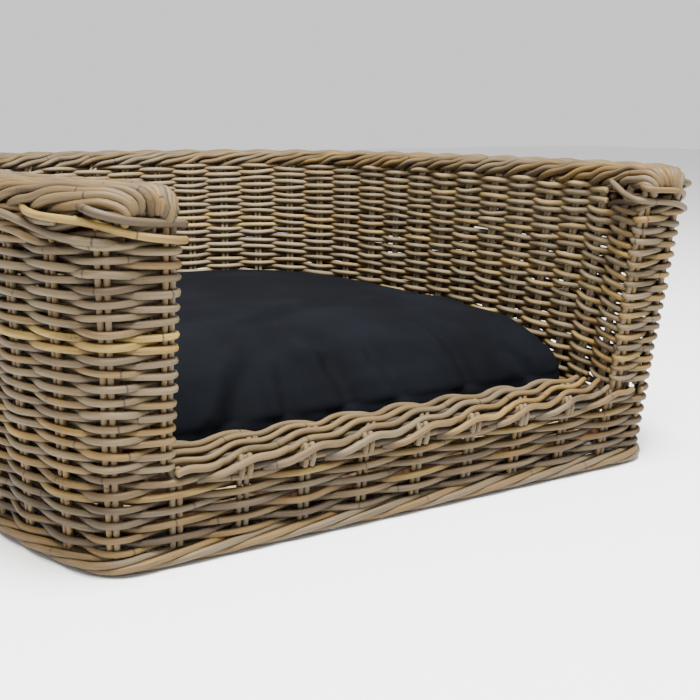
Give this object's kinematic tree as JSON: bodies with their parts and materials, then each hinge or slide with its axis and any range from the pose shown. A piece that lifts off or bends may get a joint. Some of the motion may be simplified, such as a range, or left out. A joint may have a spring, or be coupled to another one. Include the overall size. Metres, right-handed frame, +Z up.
{
  "type": "woven pet bed basket",
  "caption": "Pet bed woven from rattan with a hollow double wall, rounded arms, a low front entrance sill and a domed fabric cushion that lifts out.",
  "frame": {"origin": "middle of the bounding box, on the floor plane under the foot border", "axes": "+Z up, -Y out of the entrance, X along the sill"},
  "size_m": [0.8226, 0.96, 0.35],
  "materials": {
    "woven_rattan": "grey-brown round rattan in plain weave over paired stakes, satin",
    "border_rattan": "grey-brown rattan plaited and twisted borders, satin",
    "frame_pole": "reddish brown rattan poles, matt",
    "base_slats": "plain light rattan slats and deck, matt",
    "cushion_fabric": "dark navy-black fine twill, matt"
  },
  "bodies": {
    "basket": {"outer_weave_left": "woven_rattan", "outer_weave_right": "woven_rattan", "outer_weave_back": "woven_rattan", "sill_outer_weave": "woven_rattan", "inner_weave_left": "woven_rattan", "inner_weave_right": "woven_rattan", "inner_weave_back": "woven_rattan", "sill_inner_weave": "woven_rattan", "arm_end_left_outer": "woven_rattan", "arm_end_left_inner": "woven_rattan", "arm_end_right_outer": "woven_rattan", "arm_end_right_inner": "woven_rattan", "foot_border": "border_rattan", "rim_border": "border_rattan", "sill_border": "border_rattan", "base_ring": "frame_pole", "top_rail": "frame_pole", "sill_rail": "frame_pole", "left_arm_post": "frame_pole", "left_front_post": "frame_pole", "left_side_post": "frame_pole", "left_rear_post": "frame_pole", "back_left_post": "frame_pole", "back_post": "frame_pole", "back_right_post": "frame_pole", "right_rear_post": "frame_pole", "right_side_post": "frame_pole", "right_front_post": "frame_pole", "right_arm_post": "frame_pole", "base_deck": "base_slats", "base_bar_1": "base_slats", "base_bar_2": "base_slats", "base_bar_3": "base_slats", "base_bar_4": "base_slats", "base_bar_5": "base_slats"},
    "cushion": {"cushion": "cushion_fabric"}
  },
  "joints": [
    {"name": "cushion_lift", "type": "slide", "parent": "basket", "child": "cushion", "axis": [0, 0, 1], "range_m": [0, 0.34]}
  ]
}
